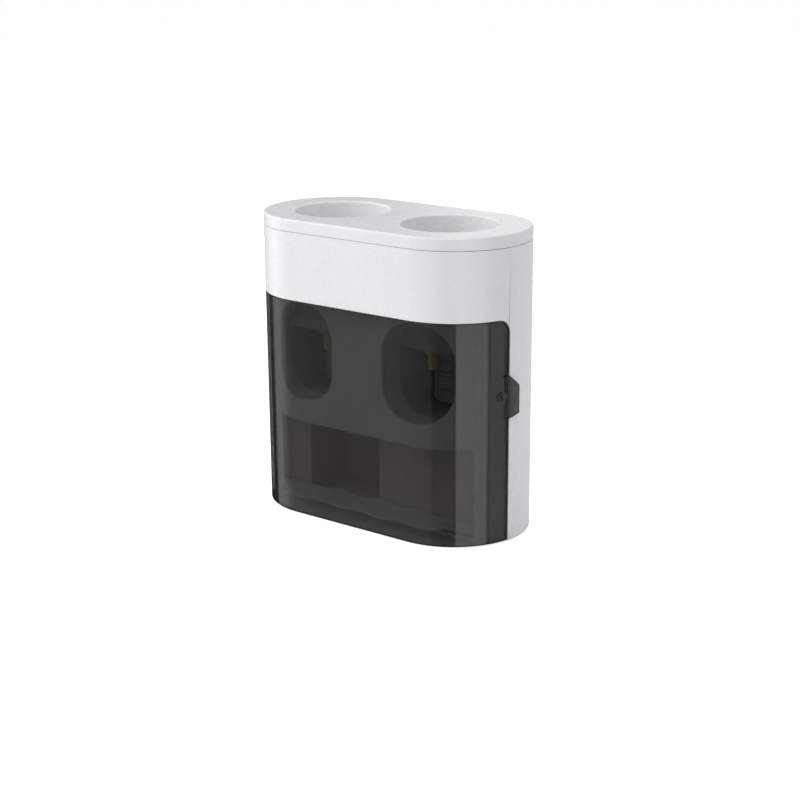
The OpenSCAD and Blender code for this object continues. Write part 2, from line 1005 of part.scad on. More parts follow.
main_housing();
top_cover();
front_panel();
lower_back_panel();
toothbrush_rack();
dust_cover();
hinge_pins();
door_magnet();
housing_magnet();
wall_bracket();
bracket_pad();
panel_screws();
dispenser_screws();
dispenser_bay(-1);  // left_dispenser_bay
dispenser_bay(1);  // right_dispenser_bay
paste_block(-1);  // left_paste_block
paste_block(1);  // right_paste_block
window_sleeve(-1);  // left_window_sleeve
window_sleeve(1);  // right_window_sleeve
tube_seal(-1);  // left_tube_seal
tube_seal(1);  // right_tube_seal
outlet_nozzle(-1);  // left_outlet_nozzle
outlet_nozzle(1);  // right_outlet_nozzle
push_lever(-1);  // left_push_lever
push_lever(1);  // right_push_lever
lever_pin(-1);  // left_lever_pin
lever_pin(1);  // right_lever_pin
lever_spring(-1);  // left_lever_spring
lever_spring(1);  // right_lever_spring
suction_bulb(-1);  // left_suction_bulb
suction_bulb(1);  // right_suction_bulb
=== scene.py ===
import json
import math

import bpy
from mathutils import Euler, Matrix, Vector


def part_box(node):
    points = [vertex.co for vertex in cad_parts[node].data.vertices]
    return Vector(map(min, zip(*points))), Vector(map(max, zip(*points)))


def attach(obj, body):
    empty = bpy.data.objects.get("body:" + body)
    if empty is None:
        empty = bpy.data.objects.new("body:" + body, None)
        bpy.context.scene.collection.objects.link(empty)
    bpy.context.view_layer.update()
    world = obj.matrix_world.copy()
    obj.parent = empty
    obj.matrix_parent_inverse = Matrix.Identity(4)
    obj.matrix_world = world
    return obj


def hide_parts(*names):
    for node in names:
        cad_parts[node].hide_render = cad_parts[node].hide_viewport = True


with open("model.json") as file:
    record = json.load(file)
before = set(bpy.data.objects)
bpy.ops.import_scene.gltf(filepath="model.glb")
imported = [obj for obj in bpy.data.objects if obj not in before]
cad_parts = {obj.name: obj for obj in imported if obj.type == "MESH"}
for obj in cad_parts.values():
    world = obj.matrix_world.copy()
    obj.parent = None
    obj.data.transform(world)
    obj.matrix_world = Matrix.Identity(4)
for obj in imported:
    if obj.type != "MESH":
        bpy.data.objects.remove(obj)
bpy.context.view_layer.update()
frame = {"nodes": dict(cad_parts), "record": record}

MM = 0.001

# Sizes shared by the pieces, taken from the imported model
LID_LOW, LID_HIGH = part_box("top_cover")
HOUSING_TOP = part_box("main_housing")[1].z
DOOR_LOW, DOOR_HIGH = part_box("dust_cover")
PIN_LOW, PIN_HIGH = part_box("hinge_pins")
MOUNTS = {mount["name"]: mount for mount in frame["record"]["mounts"]}
END_R = LID_HIGH.y
HALF = LID_HIGH.x - END_R
WELL_X = MOUNTS["right_well"]["pos_m"][0]
WELL_R = MOUNTS["right_well"]["dims"]["r_mm"] * MM
WELL_DEPTH = MOUNTS["right_well"]["dims"]["length_mm"] * MM
NECK_R = MOUNTS["right_tube_socket"]["dims"]["r_mm"] * MM
COLLAR_R = 17 * MM
DOOR_EDGE_Y = -9 * MM
PIN_BORE_R = 1.56 * MM

# Mesh fineness
ROUND_STEPS = 96
ARC_STEPS = 8
SMOOTH_ANGLE = math.radians(32)
MERGE = 1e-6
FLAT_WEIGHT = 80


def middle_of(node):
    low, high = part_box(node)
    return (low + high) / 2


# Modelling steps

def alone(piece):
    """Leaves one piece selected and active."""
    bpy.ops.object.select_all(action="DESELECT")
    piece.select_set(True)
    bpy.context.view_layer.objects.active = piece


def edit_all(piece, kind="VERT"):
    """Opens a piece in edit mode with all of it selected."""
    alone(piece)
    bpy.ops.object.mode_set(mode="EDIT")
    bpy.ops.mesh.select_mode(type=kind)
    bpy.ops.mesh.select_all(action="SELECT")


def edit_edges(piece, test):
    """Opens a piece in edit mode with the edges selected whose two ends pass the test."""
    edit_all(piece, "EDGE")
    bpy.ops.mesh.select_all(action="DESELECT")
    bpy.ops.object.mode_set(mode="OBJECT")
    points = [vertex.co for vertex in piece.data.vertices]
    for edge in piece.data.edges:
        edge.select = test(points[edge.vertices[0]], points[edge.vertices[1]])
    bpy.ops.object.mode_set(mode="EDIT")


def close_edit(piece, tidy=True):
    """Leaves edit mode, with doubles merged and faces turned outward."""
    if tidy:
        bpy.ops.mesh.select_all(action="SELECT")
        bpy.ops.mesh.remove_doubles(threshold=MERGE)
        bpy.ops.mesh.normals_make_consistent(inside=False)
    bpy.ops.object.mode_set(mode="OBJECT")
    return piece


def trace(name, points):
    """Draws an outline point by point, from a small plane merged into its first point."""
    bpy.ops.object.select_all(action="DESELECT")
    bpy.ops.mesh.primitive_plane_add(size=MM, location=points[0])
    piece = bpy.context.object
    piece.name = name
    bpy.ops.object.transform_apply(location=True, rotation=True, scale=True)
    edit_all(piece)
    bpy.ops.mesh.merge(type="CENTER")
    for here, there in zip(points, points[1:]):
        step = Vector(there) - Vector(here)
        bpy.ops.mesh.extrude_vertices_move(TRANSFORM_OT_translate={"value": step})
    bpy.ops.mesh.select_all(action="SELECT")
    bpy.ops.mesh.remove_doubles(threshold=MERGE)
    bpy.ops.object.mode_set(mode="OBJECT")
    return piece


def arc(middle, radius, start, end, steps=ARC_STEPS):
    """Points of a round stretch of an outline, angles in degrees."""
    turns = [math.radians(start + (end - start) * i / steps) for i in range(steps + 1)]
    return [(middle[0] + radius * math.cos(t), middle[1] + radius * math.sin(t)) for t in turns]


def lathe(name, outline, place=(0, 0, 0), steps=ROUND_STEPS, axis="Z"):
    """Turns an outline of (radius, travel) points once round an axis through the place."""
    ways = {
        "X": (Vector((0, 0, 1)), Vector((1, 0, 0))),
        "Y": (Vector((1, 0, 0)), Vector((0, 1, 0))),
        "Z": (Vector((0, -1, 0)), Vector((0, 0, 1))),
    }
    out, along = ways[axis]
    place = Vector(place)
    piece = trace(name, [place + out * radius + along * travel for radius, travel in outline])
    edit_all(piece)
    bpy.ops.mesh.spin(steps=steps, angle=-2 * math.pi, center=place, axis=along)
    return close_edit(piece)


def rod(name, radius, reach, place, steps, axis="Z"):
    """Plain round bar that reaches this far both ways from the place, used inside other pieces."""
    return lathe(name, [(0, -reach), (radius, -reach), (radius, reach), (0, reach)], place, steps, axis)


def oblong(name, outline, steps=ROUND_STEPS // 2):
    """Sweeps an outline of (radius, height) points round the oblong plan of the housing."""
    piece = trace(name, [(0, -radius, height) for radius, height in outline])
    edit_all(piece)
    bpy.ops.mesh.spin(steps=steps, angle=-math.pi, center=(0, 0, 0), axis=(0, 0, 1))
    bpy.ops.mesh.select_all(action="SELECT")
    bpy.ops.mesh.remove_doubles(threshold=MERGE)
    bpy.ops.mesh.select_all(action="SELECT")
    bpy.ops.transform.translate(value=(HALF, 0, 0))
    bpy.ops.object.mode_set(mode="OBJECT")
    edit_edges(piece, lambda a, b: abs(a.x - HALF) < MERGE and abs(b.x - HALF) < MERGE)
    bpy.ops.mesh.extrude_edges_move(TRANSFORM_OT_translate={"value": (-HALF, 0, 0)})
    close_edit(piece)
    mirror = piece.modifiers.new("other half", "MIRROR")
    mirror.merge_threshold = 10 * MERGE
    use(piece, mirror)
    edit_all(piece)
    return close_edit(piece)


def prism(name, outline, travel):
    """Fills a closed flat outline of 3-D points and pulls it along a straight way."""
    piece = trace(name, outline + outline[:1])
    edit_all(piece)
    bpy.ops.mesh.edge_face_add()
    bpy.ops.mesh.extrude_region_move(TRANSFORM_OT_translate={"value": travel})
    return close_edit(piece)


def block(name, low, high):
    """Plain block between two corners, used inside other pieces."""
    corners = [(low[0], low[1]), (high[0], low[1]), (high[0], high[1]), (low[0], high[1])]
    return prism(name, [(x, y, low[2]) for x, y in corners], (0, 0, high[2] - low[2]))


def copies(piece, steps):
    """Joins a piece with copies of itself moved by the given steps."""
    family = [piece]
    for step in steps:
        twin = piece.copy()
        twin.data = piece.data.copy()
        bpy.context.scene.collection.objects.link(twin)
        edit_all(twin)
        bpy.ops.transform.translate(value=step)
        bpy.ops.object.mode_set(mode="OBJECT")
        family.append(twin)
    bpy.ops.object.select_all(action="DESELECT")
    for member in family:
        member.select_set(True)
    bpy.context.view_layer.objects.active = piece
    bpy.ops.object.join()
    return piece


def use(piece, modifier):
    """Applies a modifier as with the Apply button."""
    alone(piece)
    bpy.ops.object.modifier_apply(modifier=modifier.name)


def combine(piece, other, how):
    """Cuts, joins or trims a piece with another solid, which is used up."""
    step = piece.modifiers.new("solid step", "BOOLEAN")
    step.operation = how
    step.solver = "MANIFOLD"
    step.object = other
    use(piece, step)
    bpy.data.objects.remove(other)
    return piece


def soften(piece, width, segments=3, angle=SMOOTH_ANGLE, corner="MITER_ARC", share=None):
    """Rounds the sharp edges, each by its share of the width, and shades the rest smooth."""
    if share:
        edit_edges(piece, lambda a, b: False)
        bpy.ops.mesh.edges_select_sharp(sharpness=angle)
        bpy.ops.object.mode_set(mode="OBJECT")
        shares = piece.data.attributes.new("bevel_weight_edge", "FLOAT", "EDGE")
        points = [vertex.co for vertex in piece.data.vertices]
        for edge in piece.data.edges:
            if edge.select:
                shares.data[edge.index].value = share(points[edge.vertices[0]], points[edge.vertices[1]])
    bevel = piece.modifiers.new("soft edges", "BEVEL")
    bevel.width = width
    bevel.segments = segments
    bevel.limit_method = "WEIGHT" if share else "ANGLE"
    bevel.angle_limit = angle
    bevel.use_clamp_overlap = False
    bevel.miter_outer = corner
    use(piece, bevel)
    shade(piece)
    return piece


def shade(piece):
    alone(piece)
    bpy.ops.object.shade_smooth_by_angle(angle=SMOOTH_ANGLE)
    flat = piece.modifiers.new("flat faces stay flat", "WEIGHTED_NORMAL")
    flat.keep_sharp = True
    flat.weight = FLAT_WEIGHT
    use(piece, flat)
    return piece


def dress(piece, material):
    piece.data.materials.clear()
    piece.data.materials.append(material)
    return piece


def stand_for(piece, body, slot, material, *nodes):
    """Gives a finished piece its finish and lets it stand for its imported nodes."""
    dress(piece, material)
    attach(piece, body)
    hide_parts(*nodes)
    return piece


# Finishes

class Finish:
    """A node material with its shader, and the steps that add detail to it."""

    def __init__(self, name):
        self.material = bpy.data.materials.new(name)
        self.material.use_nodes = True
        self.nodes = self.material.node_tree.nodes
        self.links = self.material.node_tree.links
        self.shader = self.nodes["Principled BSDF"]
        self.place = self.nodes.new("ShaderNodeTexCoord").outputs["Object"]

    def set(self, **sockets):
        for name, value in sockets.items():
            self.shader.inputs[name.replace("_", " ")].default_value = value
        return self

    def noise(self, size, detail=3.0, stretch=(1, 1, 1), distortion=0.0):
        """Cloudy pattern whose spots are about this size in metres."""
        mapping = self.nodes.new("ShaderNodeMapping")
        mapping.inputs["Scale"].default_value = [part / size for part in stretch]
        pattern = self.nodes.new("ShaderNodeTexNoise")
        pattern.inputs["Scale"].default_value = 1.0
        pattern.inputs["Detail"].default_value = detail
        pattern.inputs["Distortion"].default_value = distortion
        self.links.new(self.place, mapping.inputs["Vector"])
        self.links.new(mapping.outputs["Vector"], pattern.inputs["Vector"])
        return pattern.outputs["Fac"]

    def ramp(self, pattern, low, high, start=0.35, end=0.65):
        """Turns a pattern into a colour between two colours."""
        ramp = self.nodes.new("ShaderNodeValToRGB")
        first, last = ramp.color_ramp.elements
        first.position = start
        last.position = end
        first.color = (*low, 1.0)
        last.color = (*high, 1.0)
        self.links.new(pattern, ramp.inputs["Fac"])
        return ramp.outputs["Color"]

    def spread(self, pattern, low, high, start=0.3, end=0.7):
        """Turns a pattern into a number between two numbers."""
        spread = self.nodes.new("ShaderNodeMapRange")
        spread.inputs["From Min"].default_value = start
        spread.inputs["From Max"].default_value = end
        spread.inputs["To Min"].default_value = low
        spread.inputs["To Max"].default_value = high
        self.links.new(pattern, spread.inputs["Value"])
        return spread.outputs["Result"]

    def colour(self, pattern, low, high):
        self.links.new(self.ramp(pattern, low, high), self.shader.inputs["Base Color"])
        return self

    def roughness(self, pattern, low, high):
        self.links.new(self.spread(pattern, low, high), self.shader.inputs["Roughness"])
        return self

    def bump(self, pattern, height, strength=1.0):
        """Raises the surface by this height in metres where the pattern is bright."""
        bump = self.nodes.new("ShaderNodeBump")
        bump.inputs["Strength"].default_value = strength
        bump.inputs["Distance"].default_value = height
        self.links.new(pattern, bump.inputs["Height"])
        before = self.shader.inputs["Normal"].links
        if before:
            self.links.new(before[0].from_socket, bump.inputs["Normal"])
        self.links.new(bump.outputs["Normal"], self.shader.inputs["Normal"])
        return self


def gloss_plastic(name, low, high, rough):
    """Moulded gloss plastic: faint flow shades, soft waviness and a fine sheen variation."""
    finish = Finish(name).set(IOR=1.49)
    finish.colour(finish.noise(45 * MM, 2.0, (1, 1, 0.35)), low, high)
    finish.roughness(finish.noise(9 * MM, 2.0), rough - 0.015, rough + 0.015)
    finish.bump(finish.noise(60 * MM, 0.0), 0.006 * MM)
    return finish.material


def matte_plastic(name, low, high, rough):
    """Spark-eroded plastic with a fine matte grain."""
    finish = Finish(name).set(IOR=1.5)
    finish.colour(finish.noise(14 * MM, 3.0), low, high)
    finish.roughness(finish.noise(3 * MM, 4.0), rough - 0.08, rough + 0.06)
    finish.bump(finish.noise(0.35 * MM, 2.0), 0.02 * MM)
    return finish.material


def smoked_plastic():
    """Polished see-through shell, tinted near black: darker at a slant and through its rims."""
    finish = Finish("smoked_plastic").set(IOR=DOOR_IOR)
    finish.colour(finish.noise(60 * MM, 2.0), (0.006, 0.006, 0.007), (0.012, 0.012, 0.013))
    finish.roughness(finish.noise(5 * MM, 5.0, (1, 1, 0.2), 0.4), 0.03, 0.07)
    finish.bump(finish.noise(50 * MM, 1.0), 0.012 * MM)
    slant = finish.nodes.new("ShaderNodeLayerWeight")
    slant.inputs["Blend"].default_value = 0.3
    cover = finish.spread(slant.outputs["Facing"], DOOR_COVER, 1.0, 0.25, 1.0)
    rim = finish.nodes.new("ShaderNodeAttribute")
    rim.attribute_name = RIM
    most = finish.nodes.new("ShaderNodeMath")
    most.operation = "MAXIMUM"
    rim_cover = finish.spread(rim.outputs["Fac"], 0.0, RIM_COVER, 0.0, 1.0)
    finish.links.new(cover, most.inputs[0])
    finish.links.new(rim_cover, most.inputs[1])
    finish.links.new(most.outputs[0], finish.shader.inputs["Alpha"])
    return finish.material


def mark_rims(piece, least):
    """Marks the faces that cross the wall's thickness, so that the finish can darken them."""
    magnet = middle_of("door_magnet")
    clear = 5 * MM
    marks = piece.data.attributes.new(RIM, "FLOAT", "FACE")
    for face in piece.data.polygons:
        middle = Vector((face.center.x, face.center.y, 0))
        hub = Vector((max(-HALF, min(HALF, middle.x)), 0, 0))
        out = (middle - hub).normalized()
        faces_out = abs(face.normal.dot(out)) > least or (face.center - magnet).length < clear
        marks.data[face.index].value = 0.0 if faces_out else 1.0


def soft_rubber(name, low, high, rough):
    finish = Finish(name).set(IOR=1.45)
    finish.shader.inputs["Sheen Weight"].default_value = 0.15
    finish.colour(finish.noise(6 * MM, 4.0), low, high)
    finish.roughness(finish.noise(2 * MM, 4.0), rough - 0.08, rough + 0.08)
    finish.bump(finish.noise(0.5 * MM, 3.0), 0.03 * MM)
    return finish.material


def foam():
    """Closed-cell foam: small open pores in a pale sheet."""
    finish = Finish("foam").set(IOR=1.4)
    cells = finish.nodes.new("ShaderNodeTexVoronoi")
    cells.inputs["Scale"].default_value = 1 / (0.9 * MM)
    finish.links.new(finish.place, cells.inputs["Vector"])
    finish.colour(cells.outputs["Distance"], (0.6, 0.6, 0.58), (0.76, 0.76, 0.74))
    finish.roughness(finish.noise(3 * MM, 3.0), 0.82, 0.95)
    finish.bump(cells.outputs["Distance"], 0.15 * MM)
    return finish.material


def turned_steel():
    """Bright steel with fine turning marks and slight stains."""
    finish = Finish("turned_steel").set(Metallic=1.0)
    marks = finish.noise(0.25 * MM, 2.0, (0.06, 0.06, 1))
    finish.colour(finish.noise(2.5 * MM, 3.0), (0.5, 0.5, 0.51), (0.68, 0.68, 0.69))
    finish.roughness(finish.noise(1.2 * MM, 4.0), 0.18, 0.34)
    finish.bump(marks, 0.004 * MM)
    return finish.material


def nickel():
    finish = Finish("nickel_plate").set(Metallic=1.0)
    finish.colour(finish.noise(3 * MM, 3.0), (0.36, 0.35, 0.34), (0.42, 0.41, 0.4))
    finish.roughness(finish.noise(1.5 * MM, 4.0), 0.25, 0.42)
    finish.bump(finish.noise(0.4 * MM, 2.0), 0.003 * MM)
    return finish.material


# The smoked shell covers this share of what lies behind each of its two surfaces
DOOR_COVER = 0.5
DOOR_IOR = 1.62

# Mesh attribute of the door's rims and how much they cover.
# A face that looks outward by more than FACE_SIDEWAYS isn't a rim.
RIM = "rim"
RIM_COVER = 0.96
FACE_SIDEWAYS = 0.8

WHITE = gloss_plastic("white_gloss", (0.845, 0.85, 0.852), (0.875, 0.878, 0.88), 0.27)
PANEL_WHITE = gloss_plastic("white_panel", (0.76, 0.765, 0.785), (0.81, 0.81, 0.825), 0.36)
# Painted shade: the lower back panel gets a darker warm white that stands for the shade inside the lower
# compartment
SHADED_WARM_PANEL = gloss_plastic("warm_panel_painted_shade", (0.62, 0.565, 0.46), (0.68, 0.625, 0.52), 0.42)
SMOKE = smoked_plastic()
GREY = matte_plastic("grey_matte", (0.42, 0.41, 0.39), (0.48, 0.47, 0.45), 0.5)
SLEEVE_GREY = matte_plastic("sleeve_matte", (0.6, 0.59, 0.56), (0.66, 0.65, 0.62), 0.42)
LEVER_GREY = matte_plastic("lever_matte", (0.44, 0.435, 0.42), (0.5, 0.495, 0.48), 0.46)
RUBBER = soft_rubber("black_rubber", (0.035, 0.035, 0.036), (0.06, 0.06, 0.062), 0.62)
SILICONE = soft_rubber("amber_silicone", (0.5, 0.37, 0.19), (0.6, 0.46, 0.26), 0.38)
FOAM = foam()
STEEL = turned_steel()
NICKEL = nickel()


# Lid with its two wells

def make_lid():
    wall = 2.4 * MM
    rim_round = 1.5 * MM
    skirt_out = END_R - 2.7 * MM
    skirt_in = skirt_out - 2 * MM
    skirt_low = HOUSING_TOP - 6 * MM
    rim_low = HOUSING_TOP + 0.3 * MM
    top = LID_HIGH.z
    under = top - wall
    lip = [(0, top)]
    lip += reversed(arc((END_R - rim_round, top - rim_round), rim_round, 0, 90))
    lip += [(END_R, rim_low), (skirt_out, rim_low), (skirt_out, skirt_low), (skirt_in, skirt_low)]
    lip += [(skirt_in, under), (0, under)]
    lid = oblong("lid", lip)
    for side in (-1, 1):
        combine(lid, make_well_cup(side), "UNION")
        combine(lid, make_well_hollow(side), "DIFFERENCE")
    return soften(lid, 0.25 * MM, 2)


def make_well_cup(side):
    """Outside of a well, with its collar below."""
    well_wall = 2 * MM
    collar_r = COLLAR_R + well_wall
    floor = LID_HIGH.z - WELL_DEPTH
    top = LID_HIGH.z - 1.2 * MM
    outline = [(0, LID_LOW.z), (collar_r, LID_LOW.z), (collar_r, floor - well_wall)]
    outline += [(WELL_R + well_wall, floor - well_wall), (WELL_R + well_wall, top), (0, top)]
    return lathe("well_cup", outline, (side * WELL_X, 0, 0))


def make_well_hollow(side):
    """Inside of a well: a rounded mouth, a rounded foot and the collar's opening."""
    mouth = 1.3 * MM
    foot = 3 * MM
    collar_edge = 0.8 * MM
    floor = LID_HIGH.z - WELL_DEPTH
    top = LID_HIGH.z
    beyond = 5 * MM
    outline = [(0, LID_LOW.z - beyond), (COLLAR_R, LID_LOW.z - beyond), (COLLAR_R, floor - collar_edge)]
    outline += [(COLLAR_R + collar_edge, floor)]
    outline += arc((WELL_R - foot, floor + foot), foot, -90, 0)
    outline += reversed(arc((WELL_R + mouth, top - mouth), mouth, 90, 180))
    outline += [(WELL_R + mouth, top + beyond), (0, top + beyond)]
    return lathe("well_hollow", outline, (side * WELL_X, 0, 0))


# Smoked door with its finger tab and hinge barrels

def side_prism(name, outline):
    """Solid right through the housing from side to side, from an outline of (y, z) points."""
    reach = 2 * (HALF + END_R)
    return prism(name, [(-reach, y, z) for y, z in outline], (2 * reach, 0, 0))


def make_door():
    door_t = 2.4 * MM
    corner = 9 * MM
    low = DOOR_LOW.z
    high = DOOR_HIGH.z
    front = -2 * END_R
    door = oblong("smoked_door", [
        (END_R, low), (END_R, high), (END_R - door_t, high), (END_R - door_t, low), (END_R, low)
    ])
    outline = [(front, low - MM), (DOOR_EDGE_Y, low - MM)]
    outline += arc((DOOR_EDGE_Y - corner, high - corner), corner, 0, 90)
    outline += [(DOOR_EDGE_Y - corner, high + MM), (front, high + MM)]
    combine(door, side_prism("door_edge", outline), "INTERSECT")
    combine(door, make_tab(), "UNION")
    for z in HINGE_Z:
        barrel = combine(make_barrel(z), make_pin_bore(z), "DIFFERENCE")
        combine(door, barrel, "UNION")
    combine(door, make_magnet_seat(), "DIFFERENCE")
    soften(door, 0.45 * MM, 3, corner="MITER_SHARP")
    mark_rims(door, FACE_SIDEWAYS)
    return door


# Height of the finger tab's middle, and its length at the root
TAB_Z = 104 * MM
TAB_LEN = 30 * MM


def make_tab():
    """Finger tab that lies on the door's right edge and reaches past it."""
    proud = 2 * MM
    lift = 0.35 * MM
    buried = 1.2 * MM
    root_y = -14 * MM
    shoulder_y = -10.5 * MM
    tip_y = -0.4 * MM
    slope = 8 * MM
    foot = 2 * MM
    low = TAB_Z - TAB_LEN / 2
    high = TAB_Z + TAB_LEN / 2
    out = END_R + proud
    outline = [(out, low), (out, high), (END_R - buried, high), (END_R - buried, low), (out, low)]
    tab = oblong("finger_tab", outline)
    gap = [(DOOR_EDGE_Y, low - MM), (END_R, low - MM), (END_R, high + MM), (DOOR_EDGE_Y, high + MM)]
    gap_r = END_R + lift
    under = oblong("tab_gap", [(0, high + MM), (gap_r, high + MM), (gap_r, low - MM), (0, low - MM)])
    combine(under, side_prism("tab_gap_side", gap), "INTERSECT")
    combine(tab, under, "DIFFERENCE")
    shape = [(root_y, low), (shoulder_y, low), (tip_y, low + foot), (tip_y, high - slope)]
    shape += [(shoulder_y, high), (root_y, high)]
    half = prism("tab_shape", [(HALF, y, z) for y, z in shape], (2 * END_R, 0, 0))
    return combine(tab, half, "INTERSECT")


HINGE = ((PIN_LOW.x + PIN_HIGH.x) / 2, (PIN_LOW.y + PIN_HIGH.y) / 2)
HINGE_Z = (38 * MM, 120 * MM)
BARREL_H = 16 * MM
BARREL_R = 3 * MM


def make_barrel(z):
    """Hinge barrel and the arm that joins it to the door."""
    arm_t = 2.4 * MM
    arm_end = -10.2 * MM
    half = BARREL_H / 2
    barrel = rod("hinge_barrel", BARREL_R, half, HINGE + (z,), 48)
    left = HINGE[0] - arm_t / 2
    plan = [(left, arm_end), (left + arm_t, arm_end), (left + arm_t, HINGE[1]), (left, HINGE[1])]
    arm = prism("hinge_arm", [(x, y, z - half) for x, y in plan], (0, 0, BARREL_H))
    return combine(barrel, arm, "UNION")


def make_pin_bore(z):
    return rod("pin_bore", PIN_BORE_R, BARREL_H, HINGE + (z,), 48)


def latch_turn():
    """Angle of the latch behind the door's right edge."""
    middle = middle_of("door_magnet")
    return math.atan2(middle.y, middle.x - HALF)


def make_magnet_seat():
    """Round pocket behind the door's edge that holds the latch magnet."""
    seat_r = 3.55 * MM
    middle = middle_of("door_magnet")
    reach = math.hypot(middle.x - HALF, middle.y)
    seat_in = reach - 4 * MM
    seat_out = reach + 0.7 * MM
    seat = lathe("magnet_seat", [(0, seat_in), (seat_r, seat_in), (seat_r, seat_out), (0, seat_out)])
    edit_all(seat)
    bpy.ops.transform.rotate(value=-math.pi / 2, orient_axis="Y", center_override=(0, 0, 0))
    close_edit(seat)
    if max(vertex.co.x for vertex in seat.data.vertices) < 0:
        edit_all(seat)
        bpy.ops.transform.rotate(value=math.pi, orient_axis="Y", center_override=(0, 0, 0))
        close_edit(seat)
    edit_all(seat)
    bpy.ops.transform.rotate(value=-latch_turn(), orient_axis="Z", center_override=(0, 0, 0))
    bpy.ops.transform.translate(value=(HALF, 0, middle.z))
    return close_edit(seat)


# Places of the screws: bosses of the housing, and feet of the two stations

BOSS_X = HALF + END_R - 8 * MM
BOSS_SIDE_Y = 2 * MM
BOSS_BACK_X = HALF - 11 * MM
BOSS_BACK_Y = END_R - 8 * MM
FOOT_SPREAD = 20 * MM
FOOT_Y = 8 * MM
STATION_X = middle_of("right_dispenser_bay").x
BOSS_PLACES = [(way * BOSS_X, BOSS_SIDE_Y) for way in (-1, 1)]
BOSS_PLACES += [(way * BOSS_BACK_X, BOSS_BACK_Y) for way in (-1, 1)]
FOOT_PLACES = [(way * (STATION_X + foot * FOOT_SPREAD), FOOT_Y) for way in (-1, 1) for foot in (-1, 1)]


# Inner front panel with its two windows

PANEL_LOW, PANEL_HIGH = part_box("front_panel")
WINDOW_X = 50.25 * MM
WINDOW_Z = 118.5 * MM
WINDOW = (55.5 * MM, 70 * MM, 24 * MM)
PANEL_BACK_Y = -20 * MM
WINDOW_ROUND = 0.7 * MM
EDGE_SHARE = 0.35


def upright_outline(x, y, z, width, height, corner):
    """Rectangle with round corners that stands across the Y axis, as points round its middle."""
    right = x + width / 2 - corner
    left = x - width / 2 + corner
    high = z + height / 2 - corner
    low = z - height / 2 + corner
    flat = arc((right, high), corner, 0, 90) + arc((left, high), corner, 90, 180)
    flat += arc((left, low), corner, 180, 270) + arc((right, low), corner, 270, 360)
    return [(px, y, pz) for px, pz in flat]


def make_front_panel():
    """Curved front wall with the two window mouths, and the shelf behind it with its screw holes."""
    wall = 2.2 * MM
    face_r = -PANEL_LOW.y
    shelf_r = PANEL_HIGH.x - HALF
    step_y = -23.3 * MM
    hole_r = 1.7 * MM
    low = PANEL_LOW.z
    high = PANEL_HIGH.z
    far = 2 * END_R
    wall_r = face_r - wall
    shelf_top = low + wall
    outline = [(0, low), (face_r, low), (face_r, high), (wall_r, high), (wall_r, shelf_top), (0, shelf_top)]
    panel = oblong("inner_front", outline)
    front = [(-far, low - MM), (PANEL_BACK_Y, low - MM), (PANEL_BACK_Y, high + MM), (-far, high + MM)]
    combine(panel, side_prism("front_part", front), "INTERSECT")
    shelf = oblong("shelf", [(0, low), (shelf_r, low), (shelf_r, shelf_top), (0, shelf_top)])
    above = shelf_top + wall
    rear = [(step_y, low - MM), (far, low - MM), (far, above), (step_y, above)]
    combine(shelf, side_prism("rear_part", rear), "INTERSECT")
    combine(panel, shelf, "UNION")
    for way in (-1, 1):
        mouth = upright_outline(way * WINDOW_X, PANEL_BACK_Y + MM, WINDOW_Z, *WINDOW)
        combine(panel, prism("window", mouth, (0, -END_R, 0)), "DIFFERENCE")
    hole_outline = [(0, low - MM), (hole_r, low - MM), (hole_r, above), (0, above)]
    for x, y in BOSS_PLACES + FOOT_PLACES:
        combine(panel, lathe("hole", hole_outline, (x, y, 0), 24), "DIFFERENCE")
    return soften(panel, WINDOW_ROUND, 3, corner="MITER_SHARP", share=panel_rounding)


def panel_rounding(a, b):
    """Share of the full rounding: all of it round the windows, about a third elsewhere."""
    above_shelf = PANEL_LOW.z + 10 * MM
    below_top = PANEL_HIGH.z - MM
    before_back = PANEL_BACK_Y - 0.5 * MM
    upright = min(a.z, b.z) > above_shelf and max(a.z, b.z) < below_top
    return 1.0 if upright and max(a.y, b.y) < before_back else EDGE_SHARE


# Pieces of a dispensing station

def make_tube_seal(side):
    """Rubber collar for a tube's neck: rolled flange, dished mouth and two sealing ribs."""
    low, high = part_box(f"{side}_tube_seal")
    flange_t = 2 * MM
    flange_step = 3 * MM
    rib = 0.7 * MM
    rib_half = 0.8 * MM
    flange_r = (high.x - low.x) / 2
    body_r = flange_r - flange_step
    root = high.z - flange_t
    bore = NECK_R + rib
    lip = flange_t / 2
    outline = [(bore + rib, low.z)]
    outline += arc((body_r - lip, low.z + lip), lip, -90, 0)
    outline += [(body_r, root), (flange_r - lip, root)]
    outline += arc((flange_r - lip, high.z - lip), lip, -90, 90)
    outline += [(bore + 3 * rib, high.z), (bore + rib, high.z - rib)]
    for height in (root - rib, low.z + flange_t):
        outline += [(bore, height + 2 * rib_half)]
        outline += arc((bore, height), rib, 90, 270)
    outline += [(bore, low.z + rib), outline[0]]
    middle = middle_of(f"{side}_tube_seal")
    return shade(lathe(f"{side}_neck_seal", outline, (middle.x, middle.y, 0), 64))


